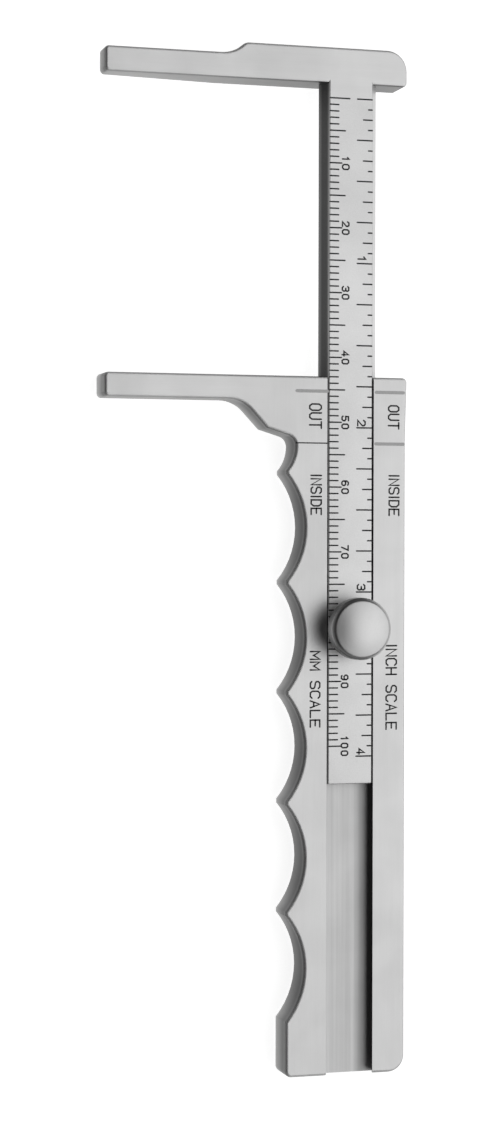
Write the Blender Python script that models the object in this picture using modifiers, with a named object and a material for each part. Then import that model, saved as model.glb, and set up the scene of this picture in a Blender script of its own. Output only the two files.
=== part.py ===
"""Femur caliper: a dovetail bar with one jaw slides in a scalloped handle that carries the other jaw.

The caliper lies on its back. +Y runs up the bar towards the moving jaw, +Z is the engraved front, and
the jaws reach towards -X. The origin is on the back face, on the bar's centre line, behind the handle's
outside index line.
"""

import math

import bmesh
import bpy
from mathutils import Matrix

MM = 0.001

# Reading: the gap between the measuring faces as modelled, and how far each stands above its zero line
opening = 45.25 * MM
index_drop = 2.3 * MM

# Both plates
plate_thickness = 6.0 * MM
edge_break = 0.5 * MM
corner_radius = 0.7 * MM
jaw_reach = 38.95 * MM

# Handle
handle_length = 107.9 * MM
fixed_jaw_height = 3.7 * MM
shoulder_side = 9.3 * MM
shoulder_drop = 9.6 * MM
plain_side = 9.05 * MM
grip_side = 10.25 * MM
heel_radius = 2.6 * MM
toe_radius = 1.0 * MM
jaw_root_radius = 5.0 * MM
jaw_root_angle = math.radians(47.0)
notch_lip_reach = 13.35 * MM
notch_roof_angle = math.radians(17.0)
notch_corner_radius = 1.7 * MM
notch_corner_drop = 10.75 * MM
notch_depth = 1.45 * MM
first_cusp_drop = 14.82 * MM
scallop_count = 5
scallop_depth = 2.97 * MM
cusp_land = 0.6 * MM
foot_land = 8.25 * MM

# Moving jaw and its head
moving_jaw_height = 3.85 * MM
head_height = 5.55 * MM
head_side = 9.2 * MM
head_corner_radius = 3.2 * MM
head_reach = 16.25 * MM
head_crest_radius = 1.6 * MM
ramp_run = 4.42 * MM
jaw_tip_thickness = 4.0 * MM

# Dovetail bar and its running fit in the groove
bar_overhang = 0.25 * MM
bar_face_width = 7.0 * MM
bar_thickness = 2.0 * MM
bar_edge_break = 0.12 * MM
bar_end_break = 0.2 * MM
flank_angle = math.radians(60.0)
side_clearance = 0.15 * MM
floor_clearance = 0.15 * MM
mouth_break = 0.12 * MM

# Thumb knob and its screw
knob_end_margin = 24.1 * MM
knob_radius = 4.75 * MM
knob_stand_off = 3.2 * MM
knob_rim_height = 2.6 * MM
knob_dome_height = 1.0 * MM
knob_rim_round = 0.45 * MM
knob_neck_radius = 2.6 * MM
knob_neck_fillet = 0.9 * MM
screw_radius = 1.0 * MM
screw_head_radius = 1.7 * MM
screw_head_height = 0.9 * MM
screw_bite = 3.6 * MM
screw_tip_chamfer = 0.25 * MM
drive_slot_width = 0.5 * MM
drive_slot_depth = 0.45 * MM

# Stop pin, and the blind slot for it on the back of the bar
pin_radius = 0.5 * MM
pin_drop = 3.0 * MM
pin_offset = 3.0 * MM
pin_depth = 2.4 * MM
pin_stand = 0.75 * MM
pin_chamfer = 0.12 * MM
slot_clearance = 0.2 * MM
slot_end_wall = 2.85 * MM

# Drag ball and its spring, in a blind bore of the handle
ball_radius = 0.75 * MM
ball_drop = 3.8 * MM
ball_offset = 1.6 * MM
bore_depth = 2.95 * MM
wire_radius = 0.1 * MM
spring_turns = 4

# Gaps between pieces that touch, and how far a cutter runs past what it cuts
seat_gap = 0.15 * MM
cut_overrun = 1.0 * MM

# Points closer than the first are one point, and places are rounded to the second
weld_distance = 0.001 * MM
grain = 0.00001 * MM

# Facet counts
arc_step = math.radians(6.0)
knob_steps = 48
round_steps = 24
wire_points_per_turn = 12

# Places worked out from the sizes above
face_y = index_drop
handle_foot_y = face_y - handle_length
scallop_pitch = (handle_length - first_cusp_drop - foot_land) / scallop_count
bar_length = handle_length + bar_overhang
knob_drop = bar_length - knob_end_margin
opening_max = bar_length - slot_end_wall - slot_clearance - pin_radius - pin_drop
groove_floor_z = plate_thickness - bar_thickness - floor_clearance
bar_back_z = plate_thickness - bar_thickness
bar_half_width = bar_face_width / 2
flank_run_per_depth = 1 / math.tan(flank_angle)


def clear_scene():
    """Remove every object, so that the file can be run again."""
    for old in list(bpy.data.objects):
        bpy.data.objects.remove(old, do_unlink=True)


def new_collection(name):
    collection = bpy.data.collections.new(name)
    bpy.context.scene.collection.children.link(collection)
    return collection


def steel(name, shade, roughness):
    """Stainless steel: a grey of the given shade, fully metallic."""
    material = bpy.data.materials.new(name)
    material.use_nodes = True
    surface = material.node_tree.nodes["Principled BSDF"]
    surface.inputs["Base Color"].default_value = (shade, shade, shade, 1.0)
    surface.inputs["Metallic"].default_value = 1.0
    surface.inputs["Roughness"].default_value = roughness
    return material


def arc(centre, radius, start, end):
    """Points of an arc, from one angle to another, both ends included."""
    count = max(2, math.ceil(abs(end - start) / arc_step))
    turns = [start + (end - start) * i / count for i in range(count + 1)]
    return [(centre[0] + radius * math.cos(a), centre[1] + radius * math.sin(a)) for a in turns]


def weld(mesh):
    """Join the caps of a converted curve to its walls, and point every face outwards."""
    work = bmesh.new()
    work.from_mesh(mesh)
    bmesh.ops.remove_doubles(work, verts=work.verts, dist=weld_distance)
    bmesh.ops.recalc_face_normals(work, faces=work.faces)
    work.to_mesh(mesh)
    work.free()


def as_mesh(curve_object, collection):
    """Replace a curve object by a welded mesh object in the same place."""
    evaluated = curve_object.evaluated_get(bpy.context.evaluated_depsgraph_get())
    mesh = bpy.data.meshes.new_from_object(evaluated)
    weld(mesh)
    name = curve_object.name
    place = curve_object.matrix_world.copy()
    bpy.data.objects.remove(curve_object, do_unlink=True)
    solid = bpy.data.objects.new(name, mesh)
    solid.matrix_world = place
    collection.objects.link(solid)
    return solid


def level(mesh):
    """Round every coordinate to a fine grain, so that faces meant to be flush are exactly flush."""
    for vertex in mesh.vertices:
        vertex.co = [round(value / grain) * grain for value in vertex.co]


def plate(name, outline, thickness, broken, collection):
    """A flat outline given a thickness, from z = 0 upwards, with its two rims rounded."""
    curve = bpy.data.curves.new(name, "CURVE")
    curve.dimensions = "2D"
    curve.fill_mode = "BOTH"
    curve.extrude = thickness / 2 - broken
    curve.bevel_depth = broken
    curve.bevel_resolution = 1
    curve.offset = -broken
    spline = curve.splines.new("POLY")
    spline.points.add(len(outline) - 1)
    for point, (x, y) in zip(spline.points, outline):
        point.co = (x, y, 0, 1)
    spline.use_cyclic_u = True
    drawn = bpy.data.objects.new(name, curve)
    collection.objects.link(drawn)
    bpy.context.view_layer.update()
    solid = as_mesh(drawn, collection)
    solid.data.transform(Matrix.Translation((0, 0, thickness / 2)))
    level(solid.data)
    return solid


def prism_along_y(name, section, low_y, high_y, broken, collection):
    """An outline in x and z, run along Y from one end to the other, with its two end rims rounded."""
    solid = plate(name, section, high_y - low_y, broken, collection)
    stand = Matrix.Rotation(math.pi / 2, 4, "X")
    solid.data.transform(Matrix.Translation((0, high_y, 0)) @ stand)
    level(solid.data)
    return solid


def turned(name, profile, steps, collection):
    """A profile of radius and height, from top to bottom, turned once round Z."""
    mesh = bpy.data.meshes.new(name)
    edges = [(i, i + 1) for i in range(len(profile) - 1)]
    mesh.from_pydata([(r, 0, z) for r, z in profile], edges, [])
    solid = bpy.data.objects.new(name, mesh)
    collection.objects.link(solid)
    turn = solid.modifiers.new("Turn", "SCREW")
    turn.steps = steps
    turn.render_steps = steps
    turn.use_merge_vertices = True
    turn.merge_threshold = weld_distance
    return solid


def slot_outline(width, low_y, high_y):
    """A slot along Y with round ends, whose end centres are at the two heights."""
    top = arc((0, high_y), width / 2, 0, math.pi)
    foot = arc((0, low_y), width / 2, math.pi, 2 * math.pi)
    return top + foot


def cut(solid, cutter):
    """Take a cutter out of a solid with an exact boolean."""
    cutter.hide_render = True
    cutter.display_type = "WIRE"
    change = solid.modifiers.new("Cut " + cutter.name, "BOOLEAN")
    change.operation = "DIFFERENCE"
    change.solver = "EXACT"
    change.object = cutter


def join(solid, other):
    """Fuse a construction solid onto another with an exact boolean."""
    other.hide_render = True
    other.display_type = "WIRE"
    change = solid.modifiers.new("Join " + other.name, "BOOLEAN")
    change.operation = "UNION"
    change.solver = "EXACT"
    change.object = other


def finish(solid, material, parent=None):
    """Give a piece its material and its parent."""
    solid.data.materials.clear()
    solid.data.materials.append(material)
    solid.parent = parent


def jaw_tip(low_y, high_y):
    """The blunt end of a jaw, from its upper corner round to its lower one."""
    left = -jaw_reach
    upper = arc((left + corner_radius, high_y - corner_radius), corner_radius, math.pi / 2, math.pi)
    lower = arc((left + corner_radius, low_y + corner_radius), corner_radius, math.pi, 1.5 * math.pi)
    return upper + lower


def scallop(high_y):
    """One finger scallop of the grip, an arc between two lands, going down."""
    half_chord = (scallop_pitch - cusp_land) / 2
    radius = (half_chord ** 2 + scallop_depth ** 2) / (2 * scallop_depth)
    spread = math.asin(half_chord / radius)
    centre = (-grip_side + scallop_depth - radius, high_y - cusp_land / 2 - half_chord)
    return arc(centre, radius, spread, -spread)


def jaw_root(under_y, lip):
    """The hollow bend under the fixed jaw, which ends on the straight slope to the lip of the thumb notch."""
    bend_end_y = under_y - jaw_root_radius * (1 - math.cos(jaw_root_angle))
    bend_end_x = lip[0] - (bend_end_y - lip[1]) / math.tan(jaw_root_angle)
    centre = (bend_end_x - jaw_root_radius * math.sin(jaw_root_angle), under_y - jaw_root_radius)
    return arc(centre, jaw_root_radius, math.pi / 2, math.pi / 2 - jaw_root_angle)


def thumb_notch(end_y):
    """The notch under the fixed jaw: its lip, a sloping roof, a tight corner, and a bow down to the grip."""
    deep_x = notch_depth - grip_side
    corner = (deep_x - notch_corner_radius, face_y - notch_corner_drop)
    roof = arc(corner, notch_corner_radius, math.pi / 2 - notch_roof_angle, 0)
    lip_rise = (roof[0][0] + notch_lip_reach) * math.tan(notch_roof_angle)
    lip = (-notch_lip_reach, roof[0][1] + lip_rise)
    drop = corner[1] - end_y
    bow_radius = (notch_depth ** 2 + drop ** 2) / (2 * notch_depth)
    bow = arc((deep_x - bow_radius, corner[1]), bow_radius, 0, -math.asin(drop / bow_radius))
    return [lip] + roof + bow[1:]


def handle_outline():
    """The fixed jaw and the grip, from the top right corner round to the left and down."""
    under_y = face_y - fixed_jaw_height
    first_cusp_y = face_y - first_cusp_drop
    notch = thumb_notch(first_cusp_y + cusp_land / 2)
    points = arc((shoulder_side - corner_radius, face_y - corner_radius), corner_radius, 0, math.pi / 2)
    points += jaw_tip(under_y, face_y)
    points += jaw_root(under_y, notch[0]) + notch
    for i in range(scallop_count):
        points += scallop(first_cusp_y - i * scallop_pitch)
    toe = (-grip_side + toe_radius, handle_foot_y + toe_radius)
    heel = (plain_side - heel_radius, handle_foot_y + heel_radius)
    points += [(-grip_side, first_cusp_y - scallop_count * scallop_pitch)]
    points += arc(toe, toe_radius, math.pi, 1.5 * math.pi)
    points += arc(heel, heel_radius, 1.5 * math.pi, 2 * math.pi)
    points += [(plain_side, face_y - shoulder_drop)]
    return points


def head_outline():
    """The moving jaw and its head, with the measuring face at y = 0."""
    rise = head_height - moving_jaw_height
    both_radii = (ramp_run ** 2 + rise ** 2) / (2 * rise)
    ramp_foot_radius = both_radii - head_crest_radius
    lean = math.asin(ramp_run / both_radii)
    crest = (-head_reach, head_height - head_crest_radius)
    ramp_foot = (-head_reach - ramp_run, moving_jaw_height + ramp_foot_radius)
    corner = (head_side - head_corner_radius, head_height - head_corner_radius)
    points = arc((head_side - corner_radius, corner_radius), corner_radius, -math.pi / 2, 0)
    points += arc(corner, head_corner_radius, 0, math.pi / 2)
    points += arc(crest, head_crest_radius, math.pi / 2, math.pi / 2 + lean)
    points += arc(ramp_foot, ramp_foot_radius, lean - math.pi / 2, -math.pi / 2)[1:]
    points += jaw_tip(0, moving_jaw_height)
    return points


def thin_jaw(solid):
    """Bring the back of the moving jaw forwards, evenly from the head to the tip."""
    start_x = -head_reach - ramp_run
    lift_per_run = (plate_thickness - jaw_tip_thickness) / (jaw_reach + start_x)
    work = bmesh.new()
    work.from_mesh(solid.data)
    whole = work.verts[:] + work.edges[:] + work.faces[:]
    bmesh.ops.bisect_plane(work, geom=whole, dist=weld_distance, plane_co=(start_x, 0, 0), plane_no=(1, 0, 0))
    for vertex in work.verts:
        if vertex.co.x < start_x and vertex.co.z < plate_thickness / 2:
            vertex.co.z += (start_x - vertex.co.x) * lift_per_run
    work.to_mesh(solid.data)
    work.free()


def bar_section():
    """The bar's dovetail section in x and z: a narrow face, and a wide back."""
    wide = bar_half_width + bar_thickness * flank_run_per_depth
    shoulder = bar_half_width + bar_edge_break * flank_run_per_depth
    inner = bar_half_width - bar_edge_break
    right = [(wide, bar_back_z), (shoulder, plate_thickness - bar_edge_break), (inner, plate_thickness)]
    return right + [(-x, z) for x, z in reversed(right)]


def groove_section():
    """The undercut groove's section: the bar's flanks moved out by the running clearance."""
    mouth = bar_half_width + side_clearance
    wide = mouth + (plate_thickness - groove_floor_z) * flank_run_per_depth
    lip = mouth + mouth_break * flank_run_per_depth
    edge = mouth + mouth_break
    right = [(wide, groove_floor_z), (lip, plate_thickness - mouth_break), (edge, plate_thickness)]
    right += [(edge, plate_thickness + cut_overrun)]
    return right + [(-x, z) for x, z in reversed(right)]


def build_handle(parts, cutters, material):
    """The handle plate with its groove, its pin hole and the bore for the drag ball."""
    handle = plate("handle_frame", handle_outline(), plate_thickness, edge_break, parts)
    low_y = handle_foot_y - cut_overrun
    groove = prism_along_y("groove_cutter", groove_section(), low_y, face_y + cut_overrun, 0, cutters)
    cut(handle, groove)
    hole_depth = pin_depth + seat_gap
    hole = [(0, groove_floor_z + cut_overrun), (pin_radius + seat_gap, groove_floor_z + cut_overrun)]
    hole += [(pin_radius + seat_gap, groove_floor_z - hole_depth), (0, groove_floor_z - hole_depth)]
    pin_hole = turned("pin_hole_cutter", hole, round_steps, cutters)
    pin_hole.location = (pin_offset, face_y - pin_drop, 0)
    cut(handle, pin_hole)
    bore_radius = ball_radius + seat_gap
    bore = [(0, groove_floor_z + cut_overrun), (bore_radius, groove_floor_z + cut_overrun)]
    bore += [(bore_radius, groove_floor_z - bore_depth), (0, groove_floor_z - bore_depth)]
    ball_bore = turned("ball_bore_cutter", bore, round_steps, cutters)
    ball_bore.location = (-ball_offset, face_y - ball_drop, 0)
    cut(handle, ball_bore)
    finish(handle, material)


def build_slide(parts, cutters, material, carriage):
    """The moving jaw, its head and the dovetail bar in one piece."""
    slide = plate("slide_bar", head_outline(), plate_thickness, edge_break, parts)
    thin_jaw(slide)
    blend_y = head_height / 2
    bar = prism_along_y("bar_body", bar_section(), -bar_length, blend_y, bar_end_break, cutters)
    bar.parent = carriage
    reach = pin_radius + slot_clearance
    pin_at_start = pin_drop
    pin_at_end = opening_max + pin_drop
    outline = slot_outline(2 * reach, -pin_at_end, -pin_at_start)
    slot_depth = pin_stand - floor_clearance + slot_clearance
    slot = plate("stop_slot_cutter", outline, slot_depth + cut_overrun, 0, cutters)
    slot.parent = carriage
    slot.location = (pin_offset, 0, bar_back_z - cut_overrun)
    cut(bar, slot)

    cone = screw_head_radius - screw_radius
    hole_radius = screw_radius + seat_gap
    sink_top = bar_back_z + seat_gap + screw_head_height
    hole = [(0, plate_thickness + cut_overrun), (hole_radius, plate_thickness + cut_overrun)]
    hole += [(hole_radius, sink_top), (hole_radius + cone, sink_top - screw_head_height)]
    hole += [(hole_radius + cone, bar_back_z - cut_overrun), (0, bar_back_z - cut_overrun)]
    screw_hole = turned("screw_hole_cutter", hole, round_steps, cutters)
    screw_hole.parent = carriage
    screw_hole.location = (0, -knob_drop, 0)
    cut(bar, screw_hole)
    join(slide, bar)
    finish(slide, material, carriage)


def knob_profile():
    """The knob from the top of its dome down to its seat, then up its screw hole."""
    seat = plate_thickness + seat_gap
    under = plate_thickness + knob_stand_off
    shoulder = under + knob_rim_height
    top = shoulder + knob_dome_height
    inner = knob_radius - knob_rim_round
    dome_radius = (inner ** 2 + knob_dome_height ** 2) / (2 * knob_dome_height)
    spread = math.asin(inner / dome_radius)
    dome = arc((0, top - dome_radius), dome_radius, math.pi / 2, math.pi / 2 - spread)
    rim = arc((inner, shoulder - knob_rim_round), knob_rim_round, math.pi / 2 - spread, 0)
    foot = arc((inner, under + knob_rim_round), knob_rim_round, 0, -math.pi / 2)
    root = (knob_neck_radius + knob_neck_fillet, under - knob_neck_fillet)
    neck = arc(root, knob_neck_fillet, math.pi / 2, math.pi)
    hole_radius = screw_radius + seat_gap
    hole_top = bar_back_z + bar_thickness + screw_bite
    return [(0, top)] + dome[1:] + rim + foot + neck + [
        (knob_neck_radius, seat), (hole_radius, seat), (hole_radius, hole_top), (0, hole_top)]


def build_knob(parts, material, carriage):
    """The domed knob that the thumb pushes."""
    knob = turned("thumb_knob", knob_profile(), knob_steps, parts)
    knob.location = (0, -knob_drop, 0)
    finish(knob, material, carriage)


def build_screw(parts, cutters, material, carriage):
    """The countersunk screw that holds the knob, put in from behind."""
    foot = bar_back_z + seat_gap
    neck = foot + screw_head_height
    tip = bar_back_z + bar_thickness + screw_bite - seat_gap
    profile = [(0, tip), (screw_radius - screw_tip_chamfer, tip), (screw_radius, tip - screw_tip_chamfer)]
    profile += [(screw_radius, neck), (screw_head_radius, foot), (0, foot)]
    screw = turned("knob_screw", profile, round_steps, parts)
    screw.location = (0, -knob_drop, 0)
    across = screw_head_radius + seat_gap
    half = drive_slot_width / 2
    section = [(-half, foot - cut_overrun), (half, foot - cut_overrun)]
    section += [(half, foot + drive_slot_depth), (-half, foot + drive_slot_depth)]
    groove = prism_along_y("drive_slot_cutter", section, -across, across, 0, cutters)
    groove.parent = carriage
    groove.location = (0, -knob_drop, 0)
    cut(screw, groove)
    finish(screw, material, carriage)


def build_pin(parts, material):
    """The stop pin, seated in the handle and standing in the bar's blind slot."""
    top = groove_floor_z + pin_stand
    foot = groove_floor_z - pin_depth
    inner = pin_radius - pin_chamfer
    profile = [(0, top), (inner, top), (pin_radius, top - pin_chamfer)]
    profile += [(pin_radius, foot + pin_chamfer), (inner, foot), (0, foot)]
    pin = turned("stop_pin", profile, round_steps, parts)
    pin.location = (pin_offset, face_y - pin_drop, 0)
    finish(pin, material)


def build_ball(parts, material):
    """The drag ball, which bears on the back of the bar."""
    mesh = bpy.data.meshes.new("drag_ball")
    work = bmesh.new()
    bmesh.ops.create_uvsphere(work, u_segments=round_steps, v_segments=round_steps // 2, radius=ball_radius)
    work.to_mesh(mesh)
    work.free()
    ball = bpy.data.objects.new("drag_ball", mesh)
    parts.objects.link(ball)
    ball.location = (-ball_offset, face_y - ball_drop, bar_back_z - seat_gap / 2 - ball_radius)
    finish(ball, material)


def build_spring(parts, material):
    """The coil spring between the ball and the foot of its bore."""
    coil_radius = ball_radius - wire_radius
    foot = groove_floor_z - bore_depth + seat_gap / 2 + wire_radius
    ball_foot = bar_back_z - seat_gap / 2 - 2 * ball_radius
    top = ball_foot - seat_gap / 2 - wire_radius
    count = spring_turns * wire_points_per_turn
    curve = bpy.data.curves.new("drag_spring", "CURVE")
    curve.dimensions = "3D"
    curve.bevel_depth = wire_radius
    curve.bevel_resolution = 1
    curve.use_fill_caps = True
    spline = curve.splines.new("POLY")
    spline.points.add(count)
    for i, point in enumerate(spline.points):
        turn = 2 * math.pi * i / wire_points_per_turn
        height = foot + (top - foot) * i / count
        point.co = (coil_radius * math.cos(turn), coil_radius * math.sin(turn), height, 1)
    drawn = bpy.data.objects.new("drag_spring", curve)
    parts.objects.link(drawn)
    drawn.location = (-ball_offset, face_y - ball_drop, 0)
    bpy.context.view_layer.update()
    spring = as_mesh(drawn, parts)
    finish(spring, material)


def main():
    clear_scene()
    parts = new_collection("femur_caliper")
    cutters = new_collection("cutters")
    carriage = bpy.data.objects.new("slide_carriage", None)
    carriage.location = (0, face_y + opening, 0)
    parts.objects.link(carriage)
    satin = steel("satin_steel", 0.62, 0.38)
    bar_steel = steel("scale_steel", 0.68, 0.42)
    polished = steel("knob_steel", 0.66, 0.28)
    dark = steel("hardened_steel", 0.45, 0.35)
    build_handle(parts, cutters, satin)
    build_slide(parts, cutters, bar_steel, carriage)
    build_knob(parts, polished, carriage)
    build_screw(parts, cutters, dark, carriage)
    build_pin(parts, dark)
    build_ball(parts, dark)
    build_spring(parts, dark)


main()
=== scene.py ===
"""Finish of a steel femur caliper: satin plates, engraved scales, a turned knob, and a pale studio."""

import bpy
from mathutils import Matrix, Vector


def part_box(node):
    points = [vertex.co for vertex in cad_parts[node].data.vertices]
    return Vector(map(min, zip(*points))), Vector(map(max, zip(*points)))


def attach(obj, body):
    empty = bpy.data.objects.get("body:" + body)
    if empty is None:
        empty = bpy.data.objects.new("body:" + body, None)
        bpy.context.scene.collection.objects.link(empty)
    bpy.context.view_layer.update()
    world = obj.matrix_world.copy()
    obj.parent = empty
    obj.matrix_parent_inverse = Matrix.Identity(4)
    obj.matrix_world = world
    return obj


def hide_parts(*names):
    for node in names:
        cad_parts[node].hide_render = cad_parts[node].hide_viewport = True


bl_info = {
    "name": "Femur caliper finish",
    "version": (1, 0, 0),
    "blender": (4, 5, 0),
    "location": "3D View > Sidebar > Caliper",
    "description": "Dresses the caliper's solids with satin steel, engraved scales and index marks",
    "category": "Object",
}

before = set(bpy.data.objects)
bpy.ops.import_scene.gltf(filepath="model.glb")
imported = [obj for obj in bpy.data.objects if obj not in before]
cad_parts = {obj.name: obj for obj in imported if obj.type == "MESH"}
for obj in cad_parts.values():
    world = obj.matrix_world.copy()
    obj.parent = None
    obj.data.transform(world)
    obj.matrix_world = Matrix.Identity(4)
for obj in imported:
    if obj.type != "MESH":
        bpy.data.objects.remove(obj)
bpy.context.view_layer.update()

import math

import bmesh
import bpy
import numpy as np
from bpy.props import FloatProperty, FloatVectorProperty, IntProperty, PointerProperty
from mathutils import Matrix

MM = 0.001
INCH = 0.0254

# Places that the solids give: the engraved face, the measuring face of the handle, and the knob
HANDLE_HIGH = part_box("handle_frame")[1]
KNOB_LOW, KNOB_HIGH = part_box("thumb_knob")
FACE_Z = HANDLE_HIGH.z
FACE_Y = HANDLE_HIGH.y

# Corners closer than the first are one point, faces flatter than the second are one face, and faces that meet
# at less than the third share their shading
WELD = 0.0001 * MM
FLAT_ANGLE = math.radians(0.2)
SMOOTH_ANGLE = math.radians(30.0)

# The index lines of the handle: from x to x, left and right of the bar
OUTSIDE_LINES = ((-8.65, -3.8), (4.2, 8.6))
INSIDE_LINES = ((-8.8, -3.8), (4.15, 8.58))

# Words on the handle, read with the jaws up on the left: foot and head of the letters in x, start and end in y
WORDS = (("OUT", -6.62, -4.76, -2.0, -5.7), ("OUT", 6.2, 7.86, -2.05, -5.6),
         ("INSIDE", -6.36, -4.74, -12.85, -18.97), ("INSIDE", 6.32, 7.9, -12.78, -19.05),
         ("MM SCALE", -6.42, -4.9, -40.1, -51.7), ("INCH SCALE", 5.9, 7.56, -39.15, -52.25))

# How near the bar's centre line a graduation ends, by what its reading divides by. A metric line with a number
# ends at the number
METRIC_LINE_ENDS = ((10, 0.27), (5, 1.0), (1, 2.05))
SIXTEENTH_LINE_ENDS = ((4, 1.02), (2, 2.0), (1, 2.82))

# A stroke's width at its top as a share of its width at its foot, and the angles that its round ends are cut at
STROKE_TOP_SHARE = 0.86
STROKE_END_ANGLES = np.radians([80, 55, 28])

# Between which places the finish changes, and where the painted shade and painted light fade in, over the handle,
# over the slide and on the knob
JAW_ROOT_X = (-15 * MM, -12 * MM)
JAW_ROOT_Y = (-9 * MM, -6 * MM)
GRIP_HOLLOW_X = (-10.1 * MM, -7.5 * MM)
JAW_WALL_X = (-38 * MM, -20 * MM)
GROOVE_CORNER_X = (1.1 * MM, 2.8 * MM)
GROOVE_Z = (FACE_Z - 1.5 * MM, FACE_Z - 1.0 * MM)
WALL_Z = (0.5 * MM, FACE_Z - 0.9 * MM)
WALL_BACK_Z = (0.2 * MM, 1.5 * MM)
SLIDE_WALL_X = (-38 * MM, 2 * MM)
SCALE_START_DROPS = (2.6 * MM, 0.6 * MM)
BAR_START_DROP = 0.1 * MM
FLANK_FOOT_Z = (FACE_Z - 1.9 * MM, FACE_Z - 1.3 * MM)
FLANK_RIM_Z = (FACE_Z - 0.5 * MM, FACE_Z)
KNOB_UNDER_SHADE_Z = (KNOB_LOW.z + 3.0 * MM, KNOB_LOW.z + 3.3 * MM)

# The painted shade and painted light at those places, as shares of the steel's colour
GRIP_HOLLOW_SHADE_SHARES = (1.0, 0.44)
JAW_WALL_LIGHT_SHARES = (1.15, 1.0)
GROOVE_CORNER_SHADE_SHARES = (1.0, 0.62)
WALL_SHARES = (1.1, 0.36)
WALL_BACK_LIGHT_SHARES = (0.6, 0.0)
SLIDE_WALL_SHADE_SHARES = (1.15, 0.5)
FLANK_SHARE = 0.7
FLANK_RIM_LIGHT_SHARES = (0.0, 2.0)

# Parts of a normal between which a wall starts to face down the handle, or away from the jaws: there the walls take
# other colours of painted shade and painted light
DOWN_FACING = (-0.98, -0.8)
RIGHT_FACING = (0.0, 0.5)

# How much rougher the groove and the scale face are, the roughness of the small parts and of the fill, and how
# deep the scratches are
GROOVE_ROUGHER = 0.08
SCALE_ROUGHER = 0.05
HARDWARE_ROUGHNESS = 0.36
FILL_ROUGHNESS = 0.6
BRUSH_RELIEF = 0.004 * MM
KNOB_RELIEF = 0.002 * MM

# The room's light comes from near the horizon: towards a side it fades in while that part of the direction goes
# from the first of these to the second
HORIZON = (0.6, 0.95)

FLOOR_STEPS = 96
SENSOR_WIDTH = 36
NEAREST_SEEN = 0.01


def length(name, description, millimetres):
    """A length property, given in millimetres."""
    return FloatProperty(name=name, description=description, default=millimetres * MM, unit="LENGTH", precision=6)


def grey(name, description, share):
    """A colour property: a neutral grey, given as a share of white."""
    return FloatVectorProperty(name=name, description=description, subtype="COLOR", size=4,
                               default=(share, share, share, 1.0), min=0, max=1)


class CaliperScales(bpy.types.PropertyGroup):
    """Sizes of the engraved scales and marks."""

    zero_y: length("Zero line", "Height of both zero lines with the jaws as modelled", 45.25)
    face_half_width: length(
        "Face half width", "Half the width of the bar's engraved face, without its broken edges", 3.38)
    millimetres: IntProperty(name="Millimetres", description="Last line of the metric scale", default=100, min=10)
    inches: IntProperty(name="Inches", description="Last numbered line of the inch scale", default=4, min=1)
    line_width: length("Line width", "Width of a graduation", 0.26)
    number_width: length("Number stroke", "Width of the strokes of the numbers", 0.28)
    word_width: length("Word stroke", "Width of the strokes of the words", 0.29)
    metric_number_low: length("Metric number foot", "Foot of the metric numbers, left of the bar's centre line", -1.4)
    metric_number_high: length(
        "Metric number head", "Head of the metric numbers, left of the bar's centre line", -0.36)
    digit_length: length("Digit length", "Room along the bar for a metric digit", 0.95)
    inch_number_low: length("Inch number foot", "Foot of the inch numbers, right of the bar's centre line", 1.16)
    inch_number_high: length("Inch number head", "Head of the inch numbers, right of the bar's centre line", 2.36)
    inch_number_length: length("Inch number length", "Room along the bar for an inch number", 0.8)
    inch_number_gap: length("Inch number gap", "Distance from an inch number down to its line", 0.34)
    index_width: length("Broad index width", "Width of the shallow index lines", 0.58)
    fine_index_width: length("Fine index width", "Width of the filled index line for inside readings", 0.22)
    inside_drop: length("Inside index drop", "Distance from the outside index line down to the inside one", 8.0)
    fill_stand: length("Fill height", "How far the dark fill stands above the steel", 0.006)
    fill_depth: length("Fill depth", "How far the dark fill reaches into the steel", 0.05)


class CaliperKnob(bpy.types.PropertyGroup):
    """Sizes of the turned knob. Its radius and its height are those of its solid."""

    dome_height: length("Dome height", "Rise of the dome above its rounded edge", 0.62)
    edge_width: length("Edge width", "Width of the rounded edge round the dome", 0.72)
    edge_height: length("Edge height", "Height of the rounded edge round the dome", 0.9)
    under_height: length("Underside", "Height of the rim's underside above the knob's seat", 3.05)
    under_round: length("Underside round", "Radius of the rim's lower edge", 0.45)
    neck_radius: length("Neck radius", "Radius of the neck", 2.6)
    neck_fillet: length("Neck fillet", "Radius of the hollow between neck and rim", 0.9)
    hole_radius: length("Hole radius", "Radius of the screw hole", 1.15)
    hole_depth: length("Hole depth", "Depth of the screw hole from the knob's seat", 3.45)
    steps: IntProperty(name="Steps", description="Steps once round the knob", default=128, min=24)


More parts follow.
